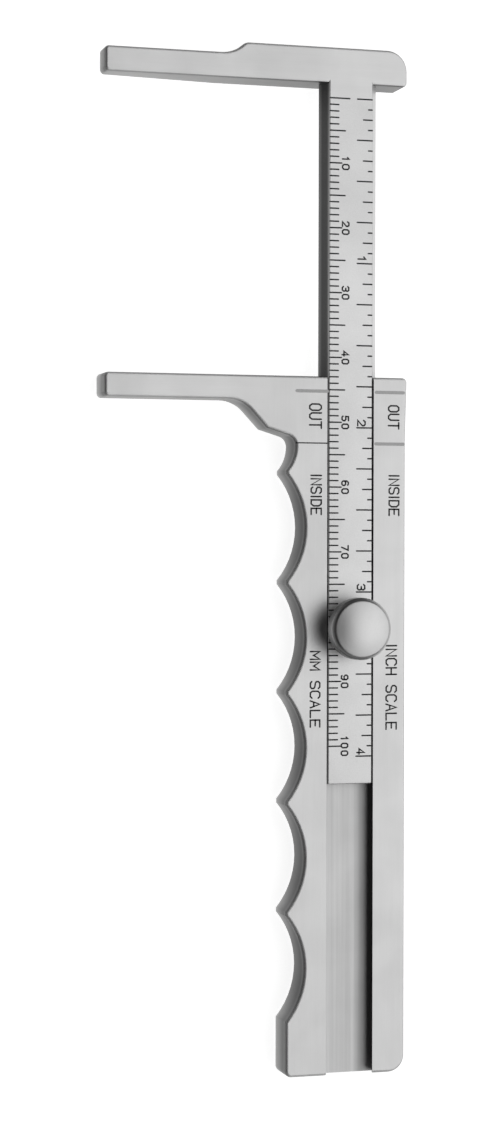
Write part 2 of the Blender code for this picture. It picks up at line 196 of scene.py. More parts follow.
class CaliperFinish(bpy.types.PropertyGroup):
    """Colours and surface of the steel and of the dark fill, with the colours of painted shade and painted light on
    the walls, the flanks and the knob.
    """

    face_colour: grey("Satin face", "Satin faces of the handle, the jaws and the head", 0.60)
    scale_colour: grey("Scale face", "Matt face of the bar under the scales", 0.68)
    # Painted light: walls that face away from the jaws are given this lighter colour for the light they catch
    open_wall_colour: grey("Light walls", "Side walls that face away from the jaws", 0.46)
    groove_colour: grey("Groove", "Milled floor of the groove", 0.60)
    # Painted shade: the side walls towards the jaws and in the grip's hollows are given this dark colour for their
    # shade
    wall_colour: grey("Dark walls", "Side walls towards the jaws and in the hollows of the grip", 0.28)
    # Painted shade: walls that face straight down the handle get this flat tone in place of the graded wall shade
    under_colour: grey("Undersides", "Side walls that face straight down the handle", 0.23)
    # Painted shade: the dovetail's flank on the jaws' side is given this dark colour for its shade
    flank_colour: grey("Dark flank", "Machined flank of the dovetail on the jaws' side", 0.10)
    # Painted light: the flank away from the jaws is given this light colour for the light it catches
    open_flank_colour: grey("Light flank", "Rubbed flank of the dovetail away from the jaws", 0.60)
    knob_colour: grey("Knob", "Turned and satin finished dome of the knob", 0.64)
    # Painted shade: the edge round the dome and the knob's underside are given this dark colour for their shade
    knob_edge_colour: grey("Knob edge", "Burnished edge between the knob's dome and its rim", 0.12)
    # Painted light: the same edge where it faces down the handle or away from the jaws
    knob_open_edge_colour: grey(
        "Light knob edge", "The same edge on the side away from the jaws and towards the foot", 0.42)
    # Painted shade: the knob's rim and neck are darkened for their shade
    knob_side_colour: grey("Knob side", "Rim and neck of the knob", 0.28)
    hardware_colour: FloatVectorProperty(
        name="Hardware", description="Hardened screw, pin, ball and spring", subtype="COLOR", size=4,
        default=(0.42, 0.42, 0.43, 1.0), min=0, max=1)
    fill_colour: FloatVectorProperty(
        name="Engraving fill", description="Dull dark fill of the lines and numbers", subtype="COLOR", size=4,
        default=(0.035, 0.035, 0.037, 1.0), min=0, max=1)
    shallow_colour: grey("Shallow lines", "Bare bottom of the broad index lines", 0.50)
    roughness: FloatProperty(
        name="Satin roughness", description="Roughness of the satin faces", default=0.38, min=0, max=1)
    knob_roughness: FloatProperty(
        name="Knob roughness", description="Roughness of the knob", default=0.42, min=0, max=1)


class CaliperStudio(bpy.types.PropertyGroup):
    """Camera, light and floor."""

    lens: FloatProperty(name="Lens", description="Focal length on a 36 mm sensor", default=80.27, unit="CAMERA")
    distance: FloatProperty(
        name="Distance", description="From the camera to the point it looks at", default=382.57 * MM, unit="LENGTH")
    aim: FloatVectorProperty(
        name="Aim", description="Point that the camera looks at", size=3, unit="LENGTH",
        default=(-16.13 * MM, -26.25 * MM, 6.0 * MM))
    yaw: FloatProperty(
        name="Yaw", description="How far the camera stands to the jaws' side of the face's normal",
        default=math.radians(16.0), unit="ROTATION")
    pitch: FloatProperty(
        name="Pitch", description="How far the camera looks down the handle", default=math.radians(0.19),
        unit="ROTATION")
    roll: FloatProperty(name="Roll", description="Turn of the picture", default=math.radians(-0.13), unit="ROTATION")
    key_lean: FloatProperty(
        name="Key lean", description="How far the large soft light stands away from the jaws' side",
        default=math.radians(26.5), unit="ROTATION")
    key_drop: FloatProperty(
        name="Key drop", description="How far the large soft light stands towards the handle's foot",
        default=math.radians(-2.0), unit="ROTATION")
    key_distance: FloatProperty(
        name="Key distance", description="From the handle to the large soft light", default=1.4, unit="LENGTH")
    key_width: FloatProperty(
        name="Key width", description="Width of the large soft light across the handle", default=1.3, unit="LENGTH")
    key_length: FloatProperty(
        name="Key length", description="Length of the large soft light along the handle", default=2.0, unit="LENGTH")
    key_power: FloatProperty(
        name="Key power", description="Power of the large soft light", default=10.2, unit="POWER")
    overhead: FloatProperty(
        name="Overhead", description="Strength of the room above, behind the large soft light", default=0.01, min=0)
    jaw_side: FloatProperty(
        name="Jaws' side", description="Strength of the room at the level of the floor, on the jaws' side",
        default=0.4, min=0)
    far_side: FloatProperty(
        name="Far side", description="The same on the side away from the jaws", default=0.75, min=0)
    head_side: FloatProperty(name="Head side", description="The same beyond the head", default=0.35, min=0)
    foot_side: FloatProperty(name="Foot side", description="The same beyond the foot", default=1.2, min=0)
    floor_radius: FloatProperty(name="Floor radius", description="Radius of the floor", default=3.0, unit="LENGTH")
    floor_gap: length("Floor gap", "Gap between the caliper's back and the floor", 0.05)
    floor_colour: grey("Floor", "Colour of the paper where light falls on it", 0.55)
    floor_white: FloatProperty(
        name="Floor white", description="White that the paper adds to the camera, to metal and to glass",
        default=0.86, min=0, max=1)


def grid_faces(rows, columns, rows_close=False, columns_close=False):
    """Quads of a grid of points: each joins a point, the next in its row, and the two of the next row."""
    i, j = np.meshgrid(np.arange(rows if rows_close else rows - 1),
                       np.arange(columns if columns_close else columns - 1), indexing="ij")
    i2, j2 = (i + 1) % rows, (j + 1) % columns
    return np.stack([i * columns + j, i * columns + j2, i2 * columns + j2, i2 * columns + j], -1).reshape(-1, 4)


def new_piece(name, points, faces, material, smooth=True):
    """An object at the origin whose mesh holds the computed points and faces."""
    mesh = bpy.data.meshes.new(name)
    mesh.from_pydata(np.asarray(points).reshape(-1, 3).tolist(), [], [list(face) for face in faces])
    mesh.polygons.foreach_set("use_smooth", np.full(len(mesh.polygons), smooth))
    mesh.materials.append(material)
    mesh.update()
    piece = bpy.data.objects.new(name, mesh)
    bpy.context.scene.collection.objects.link(piece)
    return piece


def arc(centre, radius, start, end, height=None):
    """Points of an arc or of a flattened one: centre + (radius cos a, height sin a), in steps of three degrees."""
    angle = np.linspace(start, end, max(3, int(abs(end - start) / math.radians(3.0)) + 1))
    return np.stack([centre[0] + radius * np.cos(angle), centre[1] + (height or radius) * np.sin(angle)], -1)


def turned(profile, centre, steps):
    """A profile turned once round an upright axis: x = r cos a, y = r sin a, z = h. Both its ends are on the axis."""
    angle = np.linspace(0, 2 * np.pi, steps, endpoint=False)
    radius, height = profile[1:-1].T
    ring = np.stack([np.outer(radius, np.cos(angle)), np.outer(radius, np.sin(angle)),
                     np.repeat(height[:, None], steps, 1)], -1)
    points = np.concatenate([ring.reshape(-1, 3), [(0, 0, profile[0, 1]), (0, 0, profile[-1, 1])]])
    faces = grid_faces(len(radius), steps, columns_close=True)[:, ::-1].tolist()
    top, foot, last = len(points) - 2, len(points) - 1, (len(radius) - 1) * steps
    here = np.arange(steps)
    following = (here + 1) % steps
    faces += np.stack([np.full(steps, top), here, following], -1).tolist()
    faces += np.stack([np.full(steps, foot), last + following, last + here], -1).tolist()
    return points + np.array([centre.x, centre.y, 0]), faces


def knob_profile(knob):
    """The knob's radius and height from its dome's top, round its rim and its neck, and up its screw hole.

    The dome is an arc of radius (r squared + h squared) / 2h, and the edge a quarter of an ellipse. The quarter
    starts where its slope is the dome's: there tan a = height / (width tan(dome's slope))."""
    radius = (KNOB_HIGH.x - KNOB_LOW.x) / 2
    top, seat = KNOB_HIGH.z, KNOB_LOW.z
    inner = radius - knob.edge_width
    dome_radius = (inner ** 2 + knob.dome_height ** 2) / (2 * knob.dome_height)
    spread = math.asin(inner / dome_radius)
    right = math.pi / 2
    start = math.atan(knob.edge_height / (knob.edge_width * math.tan(spread)))
    edge_x = inner - knob.edge_width * math.cos(start)
    edge_z = top - knob.dome_height - knob.edge_height * math.sin(start)
    wide = radius - edge_x
    under = seat + knob.under_height
    return np.concatenate([
        arc((0, top - dome_radius), dome_radius, right, right - spread)[:-1],
        arc((edge_x, edge_z), wide, start, 0, knob.edge_height),
        arc((radius - knob.under_round, under + knob.under_round), knob.under_round, 0, -right),
        arc((knob.neck_radius + knob.neck_fillet, under - knob.neck_fillet), knob.neck_fillet, right, math.pi),
        [(knob.neck_radius, seat), (knob.hole_radius, seat), (knob.hole_radius, seat + knob.hole_depth),
         (0, seat + knob.hole_depth)]])


def stroke(path, closed, width, low, high):
    """A cutter's stroke filled in: a flat bar carried along the path, with mitred bends and round ends.

    At a station the bar is centre +- half width times the path's normal. At a bend the half width grows by one
    over the cosine of half the turn, and past an open end it shrinks as the square root of 1 - t squared."""
    path = np.asarray(path, float)
    half = width / 2
    if closed:
        before, after = path - np.roll(path, 1, 0), np.roll(path, -1, 0) - path
    else:
        step = np.diff(path, axis=0)
        before, after = np.vstack([step[:1], step]), np.vstack([step, step[-1:]])
    before /= np.linalg.norm(before, axis=1, keepdims=True)
    after /= np.linalg.norm(after, axis=1, keepdims=True)
    along = before + after
    along /= np.linalg.norm(along, axis=1, keepdims=True)
    reach = half / np.clip((along * after).sum(1), 0.5, 1)
    if not closed:
        t = np.sin(STROKE_END_ANGLES)[:, None]
        narrow = half * np.sqrt(1 - t[:, 0] ** 2)
        path = np.vstack([path[0] - along[0] * half * t, path, path[-1] + along[-1] * half * t[::-1]])
        reach = np.concatenate([narrow, reach, narrow[::-1]])
        along = np.vstack([np.repeat(along[:1], 3, 0), along, np.repeat(along[-1:], 3, 0)])
    normal = np.stack([-along[:, 1], along[:, 0]], -1) * reach[:, None]
    side = np.array([-1, 1, STROKE_TOP_SHARE, -STROKE_TOP_SHARE])
    level = np.array([low, low, high, high])
    flat = path[:, None, :] + normal[:, None, :] * side[None, :, None]
    points = np.concatenate([flat, np.broadcast_to(level[None, :, None], flat.shape[:2] + (1,))], -1)
    faces = grid_faces(len(path), 4, rows_close=closed, columns_close=True).tolist()
    if not closed:
        last = 4 * (len(path) - 1)
        faces += [[3, 2, 1, 0], [last, last + 1, last + 2, last + 3]]
    return points.reshape(-1, 3), faces


# Letter shapes as a cutter draws them: strokes through places given as shares of the letter's width and height
RING_SHARES = [(.28, 0), (.72, 0), (1, .2), (1, .8), (.72, 1), (.28, 1), (0, .8), (0, .2)]
SIX_SHARES = [(.9, .92), (.7, 1), (.3, 1), (0, .76), (0, .2), (.28, 0), (.72, 0), (1, .18), (1, .4), (.74, .58),
              (.26, .58), (0, .42)]
LETTER_SHARES = {
    "0": [RING_SHARES + ["closed"]],
    "1": [[(.15, .78), (.55, 1), (.55, 0)]],
    "2": [[(0, .8), (.22, 1), (.78, 1), (1, .82), (1, .62), (0, 0), (1, 0)]],
    "3": [[(0, .86), (.22, 1), (.78, 1), (1, .84), (1, .66), (.76, .53), (.4, .53)],
          [(.76, .53), (1, .4), (1, .17), (.76, 0), (.22, 0), (0, .14)]],
    "4": [[(.74, 0), (.74, 1), (0, .28), (1, .28)]],
    "5": [[(.95, 1), (.1, 1), (.05, .57), (.7, .6), (1, .42), (1, .18), (.74, 0), (.22, 0), (0, .14)]],
    "6": [SIX_SHARES],
    "7": [[(0, 1), (1, 1), (.36, 0)]],
    "8": [[(.27, .54), (0, .4), (0, .18), (.27, 0), (.73, 0), (1, .18), (1, .4), (.73, .54), (.93, .7), (.93, .86),
           (.7, 1), (.3, 1), (.07, .86), (.07, .7), "closed"], [(.27, .54), (.73, .54)]],
    "9": [[(1 - x, 1 - y) for x, y in SIX_SHARES]],
    "A": [[(0, 0), (.5, 1), (1, 0)], [(.2, .36), (.8, .36)]],
    "C": [[(1, .84), (.76, 1), (.24, 1), (0, .8), (0, .2), (.24, 0), (.76, 0), (1, .16)]],
    "D": [[(0, 0), (.66, 0), (1, .24), (1, .76), (.66, 1), (0, 1), "closed"]],
    "E": [[(1, 1), (0, 1), (0, 0), (1, 0)], [(0, .52), (.8, .52)]],
    "H": [[(0, 0), (0, 1)], [(1, 0), (1, 1)], [(0, .5), (1, .5)]],
    "I": [[(.5, 0), (.5, 1)]],
    "L": [[(0, 1), (0, 0), (1, 0)]],
    "M": [[(0, 0), (0, 1), (.5, .34), (1, 1), (1, 0)]],
    "N": [[(0, 0), (0, 1), (1, 0), (1, 1)]],
    "O": [RING_SHARES + ["closed"]],
    "S": [[(1, .86), (.78, 1), (.22, 1), (0, .86), (0, .64), (.22, .53), (.78, .47), (1, .36), (1, .14), (.78, 0),
           (.22, 0), (0, .14)]],
    "T": [[(0, 1), (1, 1)], [(.5, 1), (.5, 0)]],
    "U": [[(0, 1), (0, .2), (.27, 0), (.73, 0), (1, .2), (1, 1)]],
}
LETTER_WIDTH_SHARES = {"I": 0.3, "1": 0.75, " ": 0.9, "M": 1.15}

# Gaps between letters and between the metric digits, as shares of a letter's width
LETTER_GAP_SHARE = 0.42
DIGIT_GAP_SHARE = 0.8


def lettering(text, foot_x, head_x, start_y, end_y, gap=LETTER_GAP_SHARE):
    """Strokes of a line of text that fills its box and reads down the handle.

    A letter's place u, v in shares becomes x = foot + v times the height, and y = start - u times its width."""
    widths = np.array([LETTER_WIDTH_SHARES.get(letter, 1.0) for letter in text])
    unit = (start_y - end_y) / (widths.sum() + gap * (len(text) - 1))
    starts = np.concatenate([[0], np.cumsum(widths[:-1] + gap)]) * unit
    paths = []
    for letter, width, start in zip(text, widths * unit, starts):
        for shares in LETTER_SHARES.get(letter, []):
            closed = shares[-1] == "closed"
            place = np.array(shares[:-1] if closed else shares, float)
            across = foot_x + place[:, 1] * (head_x - foot_x)
            paths.append((np.stack([across, start_y - start - place[:, 0] * width], -1), closed))
    return paths


def level_line(from_x, to_x, y):
    """A straight stroke across the bar or the handle."""
    return np.array([(from_x, y), (to_x, y)]), False


def welded_copy(node, name, material):
    """A node's triangles with their corners joined, its flat areas merged, and its normals smoothed.

    Corners whose places agree to a tenth of a micron become one point; coplanar triangles become one face; faces
    that meet at less than the smoothing angle share a normal, weighted by their areas."""
    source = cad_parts[node].data
    place = np.empty(len(source.vertices) * 3, np.float32)
    source.vertices.foreach_get("co", place)
    corner = np.empty(len(source.loops), np.int32)
    source.loops.foreach_get("vertex_index", corner)
    _, first, back = np.unique(np.round(place.reshape(-1, 3) / WELD), axis=0, return_index=True,
                               return_inverse=True)
    faces = back.reshape(-1)[corner].reshape(-1, 3)
    real = (faces[:, 0] != faces[:, 1]) & (faces[:, 1] != faces[:, 2]) & (faces[:, 2] != faces[:, 0])
    piece = new_piece(name, place.reshape(-1, 3)[first], faces[real], material)
    work = bmesh.new()
    work.from_mesh(piece.data)
    bmesh.ops.dissolve_limit(work, angle_limit=FLAT_ANGLE, verts=work.verts, edges=work.edges)
    work.to_mesh(piece.data)
    work.free()
    smooth_shading(piece)
    return piece


def smooth_shading(piece):
    """Smooth shading over shallow bends, with the large flat faces kept flat."""
    piece.data.polygons.foreach_set("use_smooth", np.ones(len(piece.data.polygons), bool))
    piece.data.set_sharp_from_angle(angle=SMOOTH_ANGLE)
    weigh = piece.modifiers.new("Flat faces stay flat", "WEIGHTED_NORMAL")
    weigh.keep_sharp = True
    weigh.weight = 100


def add(tree, kind, inputs=None, **settings):
    """Add a node. Its inputs are named or numbered, and hold a value or another node's output."""
    node = tree.nodes.new(kind)
    for key, value in settings.items():
        setattr(node, key, value)
    for key, value in (inputs or {}).items():
        if isinstance(value, bpy.types.NodeSocket):
            tree.links.new(value, node.inputs[key])
        else:
            node.inputs[key].default_value = value
    return node


def maths(tree, operation, *values):
    """A sum, product or other operation on values or outputs."""
    return add(tree, "ShaderNodeMath", dict(enumerate(values)), operation=operation).outputs[0]


def smooth_step(tree, value, between, start=0.0, end=1.0):
    """A value that goes smoothly from start to end while its source goes between two others."""
    return add(tree, "ShaderNodeMapRange", {"Value": value, "From Min": between[0], "From Max": between[1],
               "To Min": start, "To Max": end}, interpolation_type="SMOOTHSTEP").outputs["Result"]


def mix_values(tree, factor, first, second):
    """First value where the factor is 0, second where it is 1."""
    return add(tree, "ShaderNodeMix", {0: factor, 2: first, 3: second}).outputs[0]


def mix_colours(tree, factor, first, second, blend="MIX"):
    """First colour where the factor is 0, second where it is 1, or the two blended."""
    return add(tree, "ShaderNodeMix", {0: factor, 6: first, 7: second}, data_type="RGBA", blend_type=blend).outputs[2]


def tinted(tree, colour, *tones):
    """A colour times one or more tones."""
    tone = tones[0]
    for other in tones[1:]:
        tone = maths(tree, "MULTIPLY", tone, other)
    grey = add(tree, "ShaderNodeCombineXYZ", {0: tone, 1: tone, 2: tone}).outputs[0]
    return mix_colours(tree, 1.0, colour, grey, blend="MULTIPLY")


def new_group(name, inputs, outputs):
    """An empty shader group with the named inputs and outputs."""
    group = bpy.data.node_groups.new(name, "ShaderNodeTree")
    for label, kind, value in inputs:
        socket = group.interface.new_socket(label, in_out="INPUT", socket_type="NodeSocket" + kind)
        if value is not None:
            socket.default_value = value
    for label in outputs:
        group.interface.new_socket(label, in_out="OUTPUT", socket_type="NodeSocketFloat")
    return group, group.nodes.new("NodeGroupInput").outputs, group.nodes.new("NodeGroupOutput").inputs


def placed(tree, name, build, inputs):
    """Place a group in a material with its own values. The group is built once and shared by all that name it."""
    node = add(tree, "ShaderNodeGroup", node_tree=bpy.data.node_groups.get(name) or build(name))
    for key, value in inputs.items():
        if isinstance(value, bpy.types.NodeSocket):
            tree.links.new(value, node.inputs[key])
        else:
            node.inputs[key].default_value = value
    return node.outputs


def brushing_group(name):
    """Fine parallel scratches: noise stretched along Y, as a tone round 1 and a height."""
    group, given, result = new_group(
        name, [("Place", "Vector", None), ("Across", "Float", 5000.0), ("Along", "Float", 120.0),
               ("Tone Range", "Float", 0.1)], ("Tone", "Height"))
    place = add(group, "ShaderNodeSeparateXYZ", {0: given["Place"]}).outputs
    stretched = add(group, "ShaderNodeCombineXYZ", {
        0: maths(group, "MULTIPLY", place[0], given["Across"]),
        1: maths(group, "MULTIPLY", place[1], given["Along"]),
        2: maths(group, "MULTIPLY", place[2], given["Across"])}).outputs[0]
    fine = add(group, "ShaderNodeTexNoise", {"Vector": stretched, "Scale": 1.0, "Detail": 5.0, "Roughness": 0.65})
    broad = add(group, "ShaderNodeTexNoise", {"Vector": stretched, "Scale": 0.16, "Detail": 2.0, "Roughness": 0.5})
    both = mix_values(group, 0.45, fine.outputs[0], broad.outputs[0])
    swing = maths(group, "MULTIPLY", maths(group, "SUBTRACT", both, 0.5), given["Tone Range"])
    group.links.new(maths(group, "ADD", swing, 1.0), result["Tone"])
    group.links.new(fine.outputs[0], result["Height"])
    return group


def grain_group(name):
    """Fine even grain of a blasted or etched face: round noise, as a tone round 1 and a height."""
    group, given, result = new_group(
        name, [("Place", "Vector", None), ("Grains", "Float", 5200.0), ("Tone Range", "Float", 0.1)],
        ("Tone", "Height"))
    noise = add(group, "ShaderNodeTexNoise", {"Vector": given["Place"], "Scale": given["Grains"], "Detail": 3.0,
                "Roughness": 0.6})
    swing = maths(group, "MULTIPLY", maths(group, "SUBTRACT", noise.outputs[0], 0.5), given["Tone Range"])
    group.links.new(maths(group, "ADD", swing, 1.0), result["Tone"])
    group.links.new(noise.outputs[0], result["Height"])
    return group


def handling_group(name):
    """Faint clouds left by wiping and handling: broad noise, as a tone round 1 and a change of roughness."""
    group, given, result = new_group(
        name, [("Place", "Vector", None), ("Size", "Float", 90.0), ("Amount", "Float", 0.08)],
        ("Tone", "Roughness"))
    cloud = add(group, "ShaderNodeTexNoise", {"Vector": given["Place"], "Scale": given["Size"], "Detail": 4.0,
                "Roughness": 0.55, "Distortion": 0.4})
    swing = maths(group, "MULTIPLY", maths(group, "SUBTRACT", cloud.outputs[0], 0.5), given["Amount"])
    group.links.new(maths(group, "ADD", swing, 1.0), result["Tone"])
    group.links.new(maths(group, "MULTIPLY", swing, -1.0), result["Roughness"])
    return group


def facing_group(name):
    """Masks by the way the steel faces: side walls, and walls that face down the handle or away from the jaws, which
    pick where painted shade and painted light go.
    """
    group, given, result = new_group(
        name, [("Wall Below", "Float", 0.52), ("Face Above", "Float", 0.68)], ("Wall", "Down", "Right"))
    facing = add(group, "ShaderNodeTexCoord").outputs["Normal"]
    part = add(group, "ShaderNodeSeparateXYZ", {0: facing}).outputs
    level = maths(group, "ABSOLUTE", part[2])
    group.links.new(smooth_step(group, level, (given["Wall Below"], given["Face Above"]), 1.0, 0.0), result["Wall"])
    group.links.new(smooth_step(group, part[1], DOWN_FACING, 1.0, 0.0), result["Down"])
    group.links.new(smooth_step(group, part[0], RIGHT_FACING), result["Right"])
    return group


def new_metal(name, metallic=1.0):
    """A material, its tree, its shader, and its Object coordinates, whole and in parts."""
    material = bpy.data.materials.new(name)
    material.use_nodes = True
    tree = material.node_tree
    shader = tree.nodes["Principled BSDF"]
    shader.inputs["Metallic"].default_value = metallic
    place = add(tree, "ShaderNodeTexCoord").outputs["Object"]
    return material, tree, shader, place, add(tree, "ShaderNodeSeparateXYZ", {0: place}).outputs


def dress(tree, shader, colour, roughness, height=None, relief=0.0):
    """Feed the shader its colour and roughness, and a height as a bump."""
    tree.links.new(colour, shader.inputs["Base Color"])
    tree.links.new(roughness, shader.inputs["Roughness"])
    if height is not None:
        bump = add(tree, "ShaderNodeBump", {"Height": height, "Distance": relief, "Strength": 1.0})
        tree.links.new(bump.outputs[0], shader.inputs["Normal"])


def wall_steel(tree, finish, masks, part, shade):
    """Painted shade on the walls: palest at the back edge of the plate and darkest at its front rim. Walls that face
    down the handle get a flat tone of painted shade, and those that face away from the jaws a lighter colour of
    painted light."""
    front = smooth_step(tree, part[2], WALL_Z, *WALL_SHARES)
    back = smooth_step(tree, part[2], WALL_BACK_Z, *WALL_BACK_LIGHT_SHARES)
    dark = tinted(tree, tuple(finish.wall_colour), maths(tree, "ADD", front, back), shade)
    under = tinted(tree, tuple(finish.under_colour), shade)
    walls = mix_colours(tree, masks["Down"], dark, under)
    return mix_colours(tree, masks["Right"], walls, tuple(finish.open_wall_colour))


def satin(tree, shader, finish, place, colour, plain, other, on_other, rougher):
    """Dress satin steel: one surface effect where the mask is 0 and the other where it is 1, under faint clouds."""
    clouds = placed(tree, "Handling marks", handling_group, {"Place": place, "Amount": 0.11})
    tone = mix_values(tree, on_other, plain["Tone"], other["Tone"])
    height = mix_values(tree, on_other, plain["Height"], other["Height"])
    rough = maths(tree, "ADD", maths(tree, "ADD", clouds["Roughness"], finish.roughness), rougher)
    dress(tree, shader, tinted(tree, colour, tone, clouds["Tone"]), rough, height, BRUSH_RELIEF)


def crosswise(tree, part):
    """Brushing along X instead of along Y: the same group, with the two swapped."""
    swapped = add(tree, "ShaderNodeCombineXYZ", {0: part[1], 1: part[0], 2: part[2]}).outputs[0]
    return placed(tree, "Brushing", brushing_group, {"Place": swapped, "Tone Range": 0.14})


def handle_steel(finish):
    """Satin handle: brushed along the grip and along the jaw, with painted shade on the walls, darkest in the grip's
    hollows, and painted shade in the groove's corner under the rail.
    """
    material, tree, shader, place, part = new_metal("Handle satin steel")
    along = placed(tree, "Brushing", brushing_group, {"Place": place, "Tone Range": 0.14})
    across = crosswise(tree, part)
    masks = placed(tree, "Plate faces", facing_group, {})
    on_jaw = maths(tree, "MULTIPLY", smooth_step(tree, part[0], JAW_ROOT_X, 1.0, 0.0),
                   smooth_step(tree, part[1], JAW_ROOT_Y))
    in_groove = smooth_step(tree, part[2], GROOVE_Z, 1.0, 0.0)
    # Painted shade: the walls darken into the grip's hollows and are painted lighter towards the jaw's tip
    shade = maths(tree, "MULTIPLY", smooth_step(tree, part[0], GRIP_HOLLOW_X, *GRIP_HOLLOW_SHADE_SHARES),
                  smooth_step(tree, part[0], JAW_WALL_X, *JAW_WALL_LIGHT_SHARES))
    # Painted shade: the groove's floor darkens towards its corner under the rail
    corner = smooth_step(tree, part[0], GROOVE_CORNER_X, *GROOVE_CORNER_SHADE_SHARES)
    milled = placed(tree, "Brushing", brushing_group, {"Place": place, "Across": 1600.0, "Along": 14.0,
                                                       "Tone Range": 0.8})
    groove = tinted(tree, tuple(finish.groove_colour), corner, milled["Tone"])
    face = mix_colours(tree, in_groove, tuple(finish.face_colour), groove)
    colour = mix_colours(tree, masks["Wall"], face, wall_steel(tree, finish, masks, part, shade))
    satin(tree, shader, finish, place, colour, along, across, on_jaw,
          maths(tree, "MULTIPLY", in_groove, GROOVE_ROUGHER))
    return material


def slide_steel(finish, face_y):
    """Satin head and jaw, brushed along the jaw; a matt grained scale face; painted shade on the walls, darker
    towards the bar; on the bar, the flank on the jaws' side painted dark as its shade and lighter at its foot and
    rim, and the other flank painted light.
    """
    material, tree, shader, place, part = new_metal("Slide satin steel")
    grain = placed(tree, "Fine grain", grain_group, {"Place": place, "Tone Range": 0.2})
    masks = placed(tree, "Plate faces", facing_group, {})
    on_scale = smooth_step(tree, part[1], [face_y - drop for drop in SCALE_START_DROPS], 1.0, 0.0)
    on_bar = smooth_step(tree, part[1], (face_y - BAR_START_DROP, face_y), 1.0, 0.0)
    # Painted shade: the slide's walls darken towards the bar
    wall = wall_steel(tree, finish, masks, part, smooth_step(tree, part[0], SLIDE_WALL_X, *SLIDE_WALL_SHADE_SHARES))
    # Painted light at the dark flank's foot and rim; the flank away from the jaws is painted light
    flank_light = maths(tree, "ADD", smooth_step(tree, part[2], FLANK_FOOT_Z, 1.0, 0.0),
                   smooth_step(tree, part[2], FLANK_RIM_Z, *FLANK_RIM_LIGHT_SHARES))
    dark_flank = tinted(tree, tuple(finish.flank_colour), maths(tree, "ADD", flank_light, FLANK_SHARE))
    flank = mix_colours(tree, masks["Right"], dark_flank, tuple(finish.open_flank_colour))
    face = mix_colours(tree, on_scale, tuple(finish.face_colour), tuple(finish.scale_colour))
    colour = mix_colours(tree, masks["Wall"], face, mix_colours(tree, on_bar, wall, flank))
    satin(tree, shader, finish, place, colour, crosswise(tree, part), grain, on_scale,
          maths(tree, "MULTIPLY", on_scale, SCALE_ROUGHER))
    return material


def knob_steel(finish, centre):
    """Turned knob: very faint rings round its axis under a satin polish, with painted shade on its rim, its neck,
    under its rim and on the edge round its dome, which is painted lighter where it faces down the handle or away from
    the jaws.
    """
    material, tree, shader, place, part = new_metal("Knob satin steel")
    x = maths(tree, "SUBTRACT", part[0], centre.x)
    y = maths(tree, "SUBTRACT", part[1], centre.y)
    radius = maths(tree, "SQRT", maths(tree, "ADD", maths(tree, "MULTIPLY", x, x), maths(tree, "MULTIPLY", y, y)))
    ring_place = add(tree, "ShaderNodeCombineXYZ", {0: radius, 1: 0.0, 2: part[2]}).outputs[0]
    rings = placed(tree, "Brushing", brushing_group, {"Place": ring_place, "Across": 3200.0, "Tone Range": 0.1})
    grain = placed(tree, "Fine grain", grain_group, {"Place": place, "Tone Range": 0.1})
    clouds = placed(tree, "Handling marks", handling_group, {"Place": place, "Size": 260.0, "Amount": 0.08})
    edge = placed(tree, "Plate faces", facing_group, {"Wall Below": 0.84, "Face Above": 0.96})
    side = placed(tree, "Plate faces", facing_group, {"Wall Below": 0.1, "Face Above": 0.4})["Wall"]
    # Painted shade on the edge round the dome, painted lighter where it faces down the handle or away from the jaws,
    # and painted shade on the rim and neck
    open_edge = maths(tree, "MAXIMUM", edge["Down"], edge["Right"])
    edge_colour = mix_colours(tree, open_edge, tuple(finish.knob_edge_colour), tuple(finish.knob_open_edge_colour))
    top = mix_colours(tree, edge["Wall"], tuple(finish.knob_colour), edge_colour)
    rim = mix_colours(tree, side, top, tuple(finish.knob_side_colour))
    # Painted shade under the knob's rim
    under_shade = smooth_step(tree, part[2], KNOB_UNDER_SHADE_Z, 1.0, 0.0)
    colour = mix_colours(tree, under_shade, rim, tuple(finish.knob_edge_colour))
    dress(tree, shader, tinted(tree, colour, rings["Tone"], grain["Tone"], clouds["Tone"]),
          maths(tree, "ADD", clouds["Roughness"], finish.knob_roughness), rings["Height"], KNOB_RELIEF)
    return material


def hardware_steel(finish):
    """Plain hardened steel with a little grain."""
    material, tree, shader, place, _ = new_metal("Hardened steel")
    grain = placed(tree, "Fine grain", grain_group, {"Place": place, "Grains": 9000.0, "Tone Range": 0.2})
    clouds = placed(tree, "Handling marks", handling_group, {"Place": place, "Size": 700.0, "Amount": 0.2})
    dress(tree, shader, tinted(tree, tuple(finish.hardware_colour), grain["Tone"], clouds["Tone"]),
          maths(tree, "ADD", clouds["Roughness"], HARDWARE_ROUGHNESS))
    return material


def line_fill(name, colour, metallic):
    """What fills a line: dull dark fill, worn in spots, or the bare bottom of a shallow line."""
    material, tree, shader, place, _ = new_metal(name, metallic)
    grain = placed(tree, "Fine grain", grain_group, {"Place": place, "Grains": 3000.0, "Tone Range": 0.9})
    dress(tree, shader, tinted(tree, tuple(colour), grain["Tone"]),
          maths(tree, "MULTIPLY", grain["Tone"], FILL_ROUGHNESS))
    shader.inputs["Specular IOR Level"].default_value = 0.2
    return material


